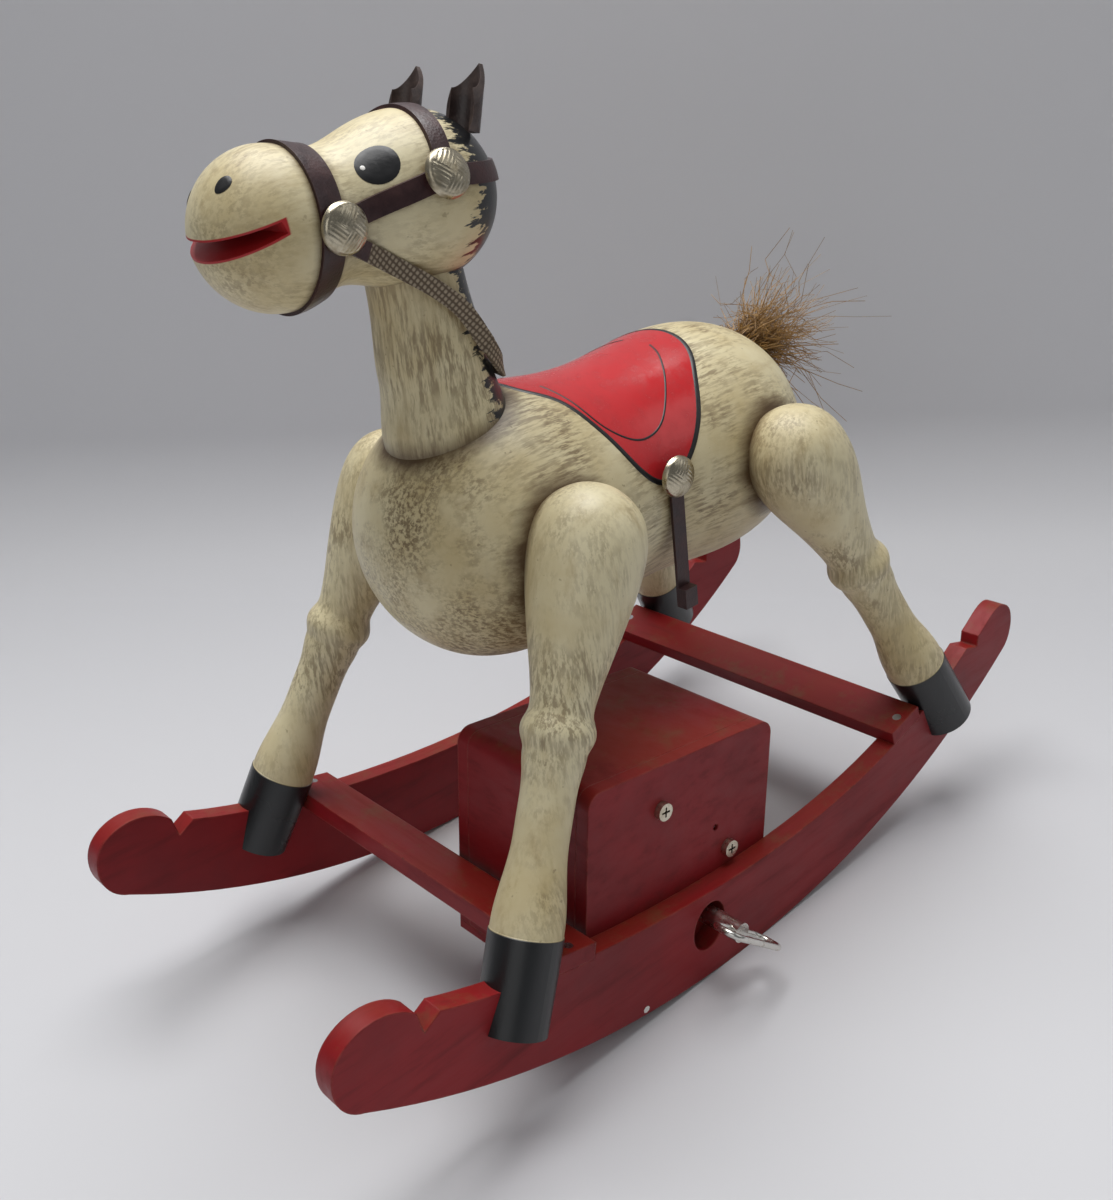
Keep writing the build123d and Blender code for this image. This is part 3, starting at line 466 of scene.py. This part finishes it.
def ribbon(name, line, width, skin, axis_point, lift, material, closed=False):
    """A painted line of a given width, laid on a turned piece's skin."""
    vertices, faces = [], []
    count = len(line)
    for at, point in enumerate(line):
        before = line[at - 1] if closed or at else line[0]
        after = line[(at + 1) % count] if closed or at + 1 < count else line[-1]
        foot = Vector((point.x, axis_point.y, axis_point.z))
        across = (after - before).cross(point - foot).normalized()
        for share, rise in ((-0.5, 0.2), (-0.3, 1), (0.3, 1), (0.5, 0.2)):
            vertices.append(on_skin(skin, axis_point, point + across * width * share, lift * rise))
    for at in range(count if closed else count - 1):
        low, high = at * 4, ((at + 1) % count) * 4
        for k in range(3):
            faces.append((low + k, low + k + 1, high + k + 1, high + k))
    return new_piece(name, vertices, faces, material)


def mm(*points):
    return [Vector(point) * MM for point in points]


def mark_joints(name, neighbours, reach):
    """Marks each vertex of a piece with how near it is to its neighbours, for the grime there."""
    trees = [surface(other) for other in neighbours]
    mesh = node_object(name).data
    values = []
    for vertex in mesh.vertices:
        gaps = [tree.find_nearest(vertex.co, reach)[3] for tree in trees]
        gap = min([gap for gap in gaps if gap is not None], default=reach)
        values.append(1 - gap / reach)
    mesh.attributes.new(NEAR, "FLOAT", "POINT").data.foreach_set("value", values)


leg_names = nodes_starting("leg_front", "leg_rear")
mark_joints("body", [*leg_names, "neck"], 0.0075)
mark_joints("neck", ["body"], 0.0045)
mark_joints("head", ["neck", "noseband"], 0.0030)
for leg_name in leg_names:
    mark_joints(leg_name, ["body"], 0.0060)


# ---- painted saddle, eyes, nostrils ------------------------------------------------------
LEFT_SADDLE = mm((-16.5, -6.6, 167.3), (-9.4, -16, 163.5), (-4.5, -25.2, 155.3), (2.1, -31.5, 143.8),
                 (8.6, -32.9, 137.7), (15.5, -33.2, 137.7), (22, -32.2, 141.2), (29, -29, 148.5),
                 (36, -22.5, 157.5), (42.5, -14.6, 163.6), (45.5, -5.5, 166.4))
LEFT_INNER = mm((-8.9, -7.9, 166.2), (-6.4, -16, 163), (-3.2, -23.9, 156), (3.5, -27.6, 150.8),
                (10.5, -28, 149.2), (18, -26.4, 151.8), (27, -19.6, 159), (33.5, -11.5, 164), (36, -5.5, 165.8))


def mirrored(points):
    return [Vector((p.x, -p.y, p.z)) for p in reversed(points)]


saddle_edge = smooth_loop(LEFT_SADDLE + mirrored(LEFT_SADDLE), 7)


def saddle_patch():
    """The red saddle, a grid between its left and right edges over the horse's back."""
    left = smooth_loop(LEFT_SADDLE, 7, closed=False)
    steps = 36
    vertices, faces = [], []
    for point in left:
        low = math.atan2(point.z - BODY_AXIS.z, point.y)
        for step in range(steps + 1):
            turn = low + (math.pi - low - low) * step / steps
            target = Vector((point.x, math.cos(turn) * 0.05, BODY_AXIS.z + math.sin(turn) * 0.05))
            edge = step in (0, steps) or point in (left[0], left[-1])
            vertices.append(on_skin(skins["body"], BODY_AXIS, target, 0.00003 if edge else 0.00014))
    row = steps + 1
    for at in range(len(left) - 1):
        for step in range(steps):
            low = at * row + step
            faces.append((low, low + 1, low + row + 1, low + row))
    return new_piece("saddle_paint", vertices, faces, "saddle")


saddle_patch()
ribbon("saddle_outline", saddle_edge, 0.0016, skins["body"], BODY_AXIS, 0.00024, "black", closed=True)
inner = smooth_loop(LEFT_INNER, 8, closed=False)
ribbon("saddle_line_left", inner, 0.0007, skins["body"], BODY_AXIS, 0.00026, "black")
ribbon("saddle_line_right", mirrored(inner), 0.0007, skins["body"], BODY_AXIS, 0.00026, "black")


def oval(centre, along, half_long, half_short, axis_point, count=28):
    """An oval round a point on a turned piece, in the plane that touches it there."""
    foot = Vector((centre.x, axis_point.y, axis_point.z))
    out = (centre - foot).normalized()
    first = (along - out * along.dot(out)).normalized()
    second = out.cross(first)
    return [centre + first * half_long * math.cos(turn) + second * half_short * math.sin(turn)
            for turn in (2 * math.pi * step / count for step in range(count))]


for hand, side in ((1, "left"), (-1, "right")):
    flip = Vector((1, hand, 1))
    eye = Vector((-54.0, -13.4, 230.6)) * MM * flip
    patch(f"eye_{side}", oval(eye, Vector((1, 0, 0.12)), 0.0052, 0.0047, HEAD_AXIS), skins["head"], HEAD_AXIS,
          0.00022, "black", rings=6)
    dot = eye + Vector((-0.0034, -0.0007 * hand, 0.0010))
    patch(f"eye_dot_{side}", oval(dot, Vector((1, 0, 0)), 0.0007, 0.0008, HEAD_AXIS), skins["head"], HEAD_AXIS,
          0.00034, "white", rings=3)
    nostril = Vector((-88.6, -6.3 if hand == 1 else -11.0, 232.8 if hand == 1 else 229.5)) * MM * flip
    patch(f"nostril_{side}", oval(nostril, Vector((1, 0, 0.3)), 0.0017, 0.0019, HEAD_AXIS), skins["head"],
          HEAD_AXIS, 0.00022, "black", rings=4)


def rocker_chip():
    """A small chip in the left rocker's paint, down to its pale wood."""
    face_y = min(vertex.co.y for vertex in node_object("rocker_left").data.vertices) - CHIP_LIFT
    outline = [(1.0, 0.1), (0.55, 0.75), (-0.2, 0.9), (-0.9, 0.35), (-0.8, -0.5), (-0.1, -0.85), (0.7, -0.6)]
    vertices = [(CHIP_AT[0] + x * CHIP_SIZE, face_y, CHIP_AT[1] + z * CHIP_SIZE) for x, z in outline]
    faces = [tuple(range(len(outline)))]
    return new_piece("rocker_chip", vertices, faces, "white", smooth=False)


CHIP_AT, CHIP_SIZE, CHIP_LIFT = (-0.0426, 0.0054), 0.0012, 0.00008
rocker_chip()


# ---- tack heads --------------------------------------------------------------------------
RIB_PITCH, RIB_DEPTH = 0.00095, 0.00008


def tack_dome(name, seat, outwards, radius=0.0059, height=0.0030):
    """A domed tack head with a plain button and rim, and ribs that turn in each quarter."""
    out = Vector(outwards).normalized()
    side = out.orthogonal().normalized()
    other = out.cross(side)
    rings, turns = 26, 96
    vertices, faces = [seat + out * height], []
    for ring in range(1, rings + 1):
        share = ring / rings
        dome = height * math.sqrt(max(1 - share**2 * 0.97, 0)) if ring < rings else 0.0
        for step in range(turns):
            turn = 2 * math.pi * step / turns
            reach = radius * share
            rib = math.cos(2 * math.pi * reach * math.cos(turn) / RIB_PITCH)
            if math.sin(2 * turn) > 0:
                rib = math.cos(2 * math.pi * reach * math.sin(turn) / RIB_PITCH)
            press = RIB_DEPTH * rib * (1 if 0.22 < share < 0.86 else 0.2)
            rim = 0.00012 if 0.88 < share < 0.97 else 0.0
            vertices.append(seat + (side * math.cos(turn) + other * math.sin(turn)) * reach
                            + out * (dome + press + rim))
    for step in range(turns):
        after = (step + 1) % turns
        faces.append((0, 1 + step, 1 + after))
        for ring in range(rings - 1):
            low, high = 1 + ring * turns, 1 + (ring + 1) * turns
            faces.append((low + step, high + step, high + after, low + after))
    return new_piece(name, vertices, faces, "tack")


CHEEK_RISE = math.radians(18)  # of the cheek tacks, above the head's mid-line
NOSE_SEAT, CHEEK_SEAT, SADDLE_SEAT = 0.0195, 0.0223, 0.0353  # from the toy's middle, or the head's axis
bridle, saddle_heads = [], []
for hand, side in ((-1, "left"), (1, "right")):
    bridle.append(tack_dome(f"nose_tack_{side}", Vector((-0.069, hand * NOSE_SEAT, 0.220)), (0, hand, 0)))
    out = Vector((0, hand * math.cos(CHEEK_RISE), math.sin(CHEEK_RISE)))
    bridle.append(tack_dome(f"cheek_tack_{side}", Vector((-0.0404, 0, 0.220)) + out * CHEEK_SEAT, out))
    seat = Vector((0.0129, hand * SADDLE_SEAT, 0.1385))
    saddle_heads.append(tack_dome(f"saddle_tack_{side}", seat, (0, hand, 0)))
for item in bridle:
    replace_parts(item, "bridle_tacks")
for item in saddle_heads:
    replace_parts(item, "saddle_tacks")


# ---- reins -------------------------------------------------------------------------------
LEFT_REIN = mm((-71.0, -19.2, 219.5), (-67.5, -17.6, 216.6), (-56, -14.6, 209.5), (-44, -14.8, 201),
               (-36.6, -15.2, 194), (-31.5, -14.9, 186), (-26, -12.6, 178), (-21.4, -7.4, 174), (-19.6, 0, 173))
REIN_WIDTH, REIN_THICKNESS = 0.0044, 0.0008
REIN_CLOTH_TOP = 0.2125  # above this height the strap shows its plum face


def make_reins():
    """One flat strap round the back of the neck, standing on edge at the tacks and twisting to
    lie open along the neck."""
    half = smooth_loop(LEFT_REIN, 9, closed=False)
    path = half + mirrored(half)[1:]
    outside, inside = [], []
    for at, point in enumerate(path):
        ahead = (path[min(at + 1, len(path) - 1)] - path[max(at - 1, 0)]).normalized()
        share = 1 - abs(2 * at / (len(path) - 1) - 1)
        outwards = Vector((0.35 if point.x > -0.03 else 0, point.y * 40, 0.25)).normalized()
        across = ahead.cross(outwards).normalized()
        turn = math.radians(34 * math.sin(share * math.pi)) * (1 if point.y < 0 else -1)
        across = Matrix.Rotation(turn, 3, ahead) @ across
        face = across.cross(ahead).normalized()
        for rise, ring in ((1, outside), (0, inside)):
            ring.append([point + across * REIN_WIDTH * side + face * REIN_THICKNESS * rise
                         for side in (-0.5, 0.5)])
    vertices, faces = [], []
    for outer, under in zip(outside, inside):
        vertices += [outer[0], outer[1], under[1], under[0]]
    for at in range(len(path) - 1):
        low, high = 4 * at, 4 * at + 4
        faces += [(low + k, low + (k + 1) % 4, high + (k + 1) % 4, high + k) for k in range(4)]
    faces += [(3, 2, 1, 0), tuple(range(4 * len(path) - 4, 4 * len(path)))]
    strap = new_piece("reins_strap", vertices, faces, "cloth", smooth=False)
    strap.data.materials.append(materials["plum"])
    for face in strap.data.polygons:
        if face.center.z > REIN_CLOTH_TOP:
            face.material_index = 1
    return strap


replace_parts(make_reins(), "reins")


# ---- tail --------------------------------------------------------------------------------
def strand(path, radius):
    """The ring vertices and faces of one hair: a tapering four-sided tube along a path."""
    vertices, faces = [], []
    for at, point in enumerate(path):
        ahead = (path[min(at + 1, len(path) - 1)] - path[max(at - 1, 0)]).normalized()
        side = ahead.orthogonal().normalized()
        other = ahead.cross(side)
        r = radius * (1 - 0.6 * at / (len(path) - 1))
        for turn in range(3):
            angle = 2 * math.pi * turn / 3
            vertices.append(point + side * math.cos(angle) * r + other * math.sin(angle) * r)
    for at in range(len(path) - 1):
        for turn in range(3):
            low, after = at * 3 + turn, at * 3 + (turn + 1) % 3
            faces.append((low, after, after + 3, low + 3))
    faces.append((0, 2, 1))
    last = len(vertices) - 3
    faces.append((last, last + 1, last + 2))
    return vertices, faces


def make_tail():
    """A frayed tuft glued into the rump: a dense core of hairs, with strays round it."""
    root = Vector((77, 0, 152)) * MM
    main = Vector((0.96, -0.06, 0.16)).normalized()
    vertices, faces = [], []
    for index in range(620):
        stray = index % 9 == 0
        spread = random.uniform(0.35, 0.75) if stray else random.uniform(0.0, 0.34) ** 0.8
        around = random.uniform(0, 2 * math.pi)
        side = main.orthogonal().normalized()
        other = main.cross(side)
        aim = (main + (side * math.cos(around) + other * math.sin(around)) * spread).normalized()
        length = random.uniform(0.016, 0.029) * (1.15 if stray else 1.0)
        start = root + (side * random.gauss(0, 1) + other * random.gauss(0, 1)) * 0.0014
        bend = Vector((random.gauss(0, 1), random.gauss(0, 1), random.gauss(0, 1) - 0.4)) * 0.35
        kink = Vector((random.gauss(0, 1), random.gauss(0, 1), random.gauss(0, 1))) * 0.0026
        path = []
        for step in range(8):
            share = step / 7
            path.append(start + aim * length * share + bend * length * share**2
                        + kink * math.sin(share * 9 + index))
        base = len(vertices)
        more, sides = strand(path, random.uniform(0.00013, 0.00026))
        vertices += more
        faces += [tuple(base + k for k in face) for face in sides]
    return new_piece("tail_hair", vertices, faces, "hair", smooth=False)


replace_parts(make_tail(), "tail_tuft")


# ---- stage -------------------------------------------------------------------------------
def plain(name, color, roughness):
    material = bpy.data.materials.new(name)
    material.use_nodes = True
    bsdf = material.node_tree.nodes["Principled BSDF"]
    bsdf.inputs["Base Color"].default_value = (*color, 1)
    bsdf.inputs["Roughness"].default_value = roughness
    return material


SWEEP_START, SWEEP_RADIUS, BACKDROP_TOP = 0.195, 0.065, 0.55
STAGE_TURN = math.radians(15.29)  # turned from the camera's heading so that it looks level


def make_stage():
    """A pale floor that sweeps up into a backdrop behind the toy."""
    profile = [(-3.0, 0.0), (SWEEP_START, 0.0)]
    profile += [(SWEEP_START + SWEEP_RADIUS * math.sin(turn), SWEEP_RADIUS * (1 - math.cos(turn)))
                for turn in (math.radians(5 * step) for step in range(1, 19))]
    profile.append((SWEEP_START + SWEEP_RADIUS, BACKDROP_TOP))
    heading = -CAMERA_AZIMUTH + STAGE_TURN
    ahead = Vector((math.sin(heading), math.cos(heading), 0))
    across = Vector((math.cos(heading), -math.sin(heading), 0))
    vertices, faces = [], []
    for reach, height in profile:
        for side in (-5, 5):
            vertices.append(ahead * reach + across * side + Vector((0, 0, height)))
    for at in range(len(profile) - 1):
        faces.append((2 * at, 2 * at + 1, 2 * at + 3, 2 * at + 2))
    mesh = bpy.data.meshes.new("stage_floor")
    mesh.from_pydata([tuple(v) for v in vertices], [], faces)
    mesh.materials.append(plain("stage_grey", (0.62, 0.62, 0.64), 0.6))
    mesh.polygons.foreach_set("use_smooth", [True] * len(mesh.polygons))
    floor = bpy.data.objects.new("stage_floor", mesh)
    bpy.context.collection.objects.link(floor)


def area_light(name, place, target, size, power):
    data = bpy.data.lights.new(name, "AREA")
    data.size, data.energy = size, power
    lamp = bpy.data.objects.new(name, data)
    bpy.context.collection.objects.link(lamp)
    lamp.location = place
    lamp.rotation_mode = "QUATERNION"
    lamp.rotation_quaternion = (Vector(target) - Vector(place)).to_track_quat("-Z", "Y")


make_stage()
area_light("top", (0.14, 0.20, 1.15), (0, 0, 0.1), 0.9, 16)
area_light("left", (-0.9, -0.55, 0.55), (0, 0, 0.12), 0.8, 1.4)
area_light("right", (0.75, -0.75, 0.8), (0, 0, 0.1), 0.7, 1.2)
world = bpy.data.worlds.new("world")
world.use_nodes = True
world.node_tree.nodes["Background"].inputs["Color"].default_value = (0.95, 0.97, 1.0, 1)
world.node_tree.nodes["Background"].inputs["Strength"].default_value = 0.16
bpy.context.scene.world = world
bpy.context.scene.view_settings.view_transform = "Standard"
